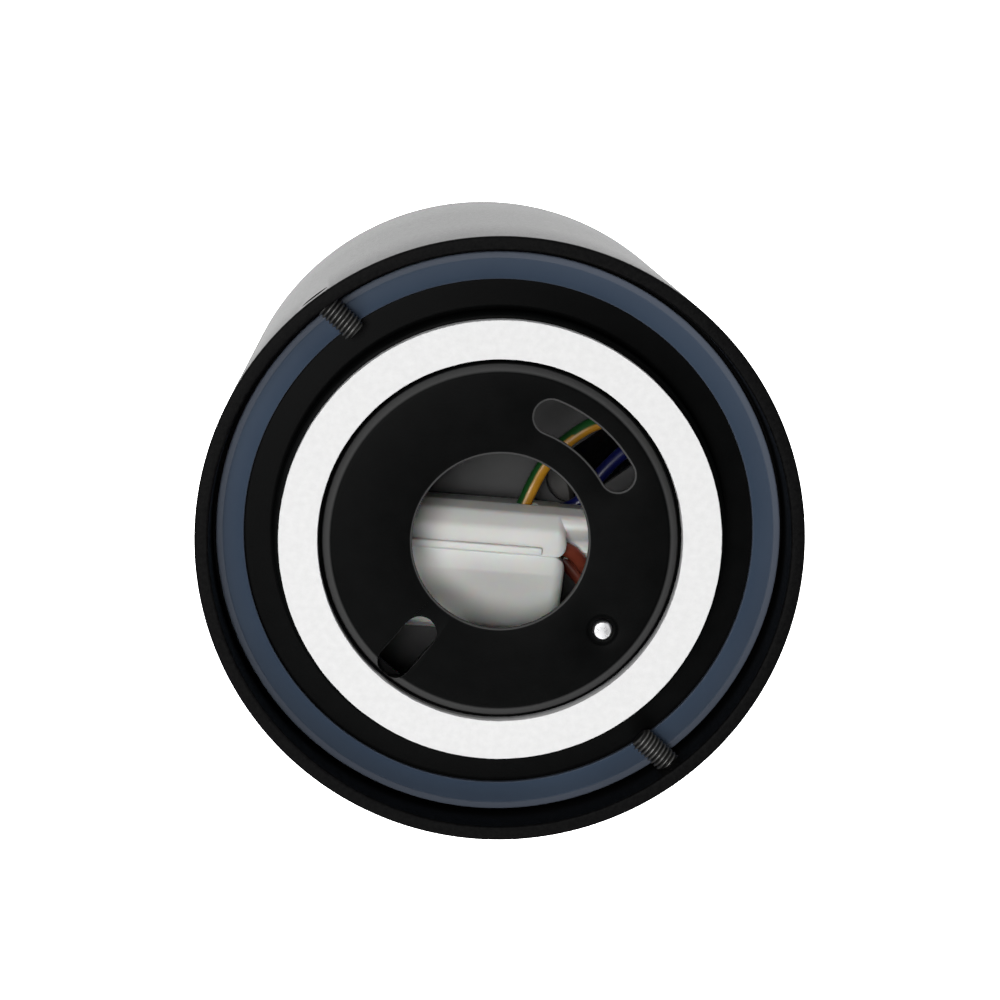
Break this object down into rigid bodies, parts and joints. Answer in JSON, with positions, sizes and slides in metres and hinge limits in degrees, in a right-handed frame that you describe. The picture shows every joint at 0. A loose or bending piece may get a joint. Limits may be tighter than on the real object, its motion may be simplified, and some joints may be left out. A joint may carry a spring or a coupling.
{
  "type": "surface mounted ceiling spotlight",
  "caption": "Short cylindrical spotlight housing with a recessed ceiling base, foam gasket, silicone seal, terminal box, twist-lock reflector lamp and bayonet glass ring.",
  "frame": {"origin": "centre of the lower rim, where the light comes out", "axes": "+Z along the housing towards the ceiling, +X and +Y across it; it stands on its light end"},
  "size_m": [0.096, 0.096, 0.115],
  "materials": {
    "black_coat": "textured black powder coat on aluminium",
    "black_sheet": "semi-matt black coat on sheet steel",
    "zinc_sheet": "dull zinc plated sheet",
    "foam": "closed-cell white foam",
    "silicone": "translucent blue-grey silicone",
    "steel": "zinc plated",
    "black_steel": "black oxide",
    "white_nylon": "moulded nylon",
    "brass": "plain",
    "phenolic": "black phenolic moulding",
    "glass": "clear toughened",
    "lamp_graphite": "graphite moulded lamp body",
    "diffuser": "frosted lens",
    "rubber": "black",
    "brown": "brown-red lead insulation",
    "blue": "blue lead insulation",
    "green_yellow": "green and yellow lead insulation"
  },
  "bodies": {
    "housing": {"housing": "black_coat", "lamp_bracket": "zinc_sheet", "bracket_screw_1": "steel", "bracket_screw_2": "steel", "bracket_screw_3": "steel", "lampholder_screw_1": "steel", "lampholder_screw_2": "steel", "bracket_ring_terminal": "steel", "bracket_earth_screw": "steel", "lead_grommet": "rubber", "lampholder_face": "phenolic", "lampholder_cap": "phenolic", "lampholder_contact_1": "brass", "lampholder_contact_2": "brass", "terminal_box_back": "white_nylon", "terminal_block": "white_nylon", "terminal_clamp_1": "brass", "terminal_clamp_2": "brass", "terminal_clamp_3": "brass", "terminal_screw_1": "steel", "terminal_screw_2": "steel", "terminal_screw_3": "steel", "terminal_screw_4": "steel", "terminal_screw_5": "steel", "terminal_screw_6": "steel", "brown_lead": "brown", "blue_lead": "blue", "earth_lead_bracket": "green_yellow"},
    "ceiling_base": {"base_plate": "black_sheet", "ceiling_gasket": "foam", "seal_ring": "silicone", "earth_stud": "steel", "stud_washer": "steel", "stud_ring_terminal": "steel", "stud_nut": "steel", "earth_lead_base": "green_yellow"},
    "box_lid": {"terminal_box_lid": "white_nylon"},
    "grub_1": {"grub_screw_1": "black_steel"},
    "grub_2": {"grub_screw_2": "black_steel"},
    "lamp": {"lamp_body": "lamp_graphite", "lamp_lens": "diffuser", "lamp_base": "lamp_graphite", "lamp_pin_1": "steel", "lamp_pin_2": "steel"},
    "front": {"front_ring": "black_coat", "glass_clip": "steel", "front_glass": "glass", "glass_seal": "rubber"}
  },
  "joints": [
    {"name": "base_play", "type": "slide", "parent": "housing", "child": "ceiling_base", "axis": [0, 0, 1], "range_m": [0, 0.0006]},
    {"name": "grub_1_slide", "type": "slide", "parent": "housing", "child": "grub_1", "axis": [-0.7373, 0.6756, 0], "range_m": [0, 0.006]},
    {"name": "grub_2_slide", "type": "slide", "parent": "housing", "child": "grub_2", "axis": [0.7373, -0.6756, 0], "range_m": [0, 0.006]},
    {"name": "lid_hinge", "type": "hinge", "parent": "housing", "child": "box_lid", "pos_m": [-0.01, -0.00368, 0.0975], "axis": [-0.9965, 0.0832, 0], "range_deg": [0, 55]},
    {"name": "lamp_twist", "type": "hinge", "parent": "housing", "child": "lamp", "pos_m": [0, 0, 0.0591], "axis": [0, 0, 1], "range_deg": [0, 22]},
    {"name": "front_ring_turn", "type": "hinge", "parent": "housing", "child": "front", "pos_m": [0, 0, 0.0095], "axis": [0, 0, 1], "range_deg": [0, 30]}
  ]
}
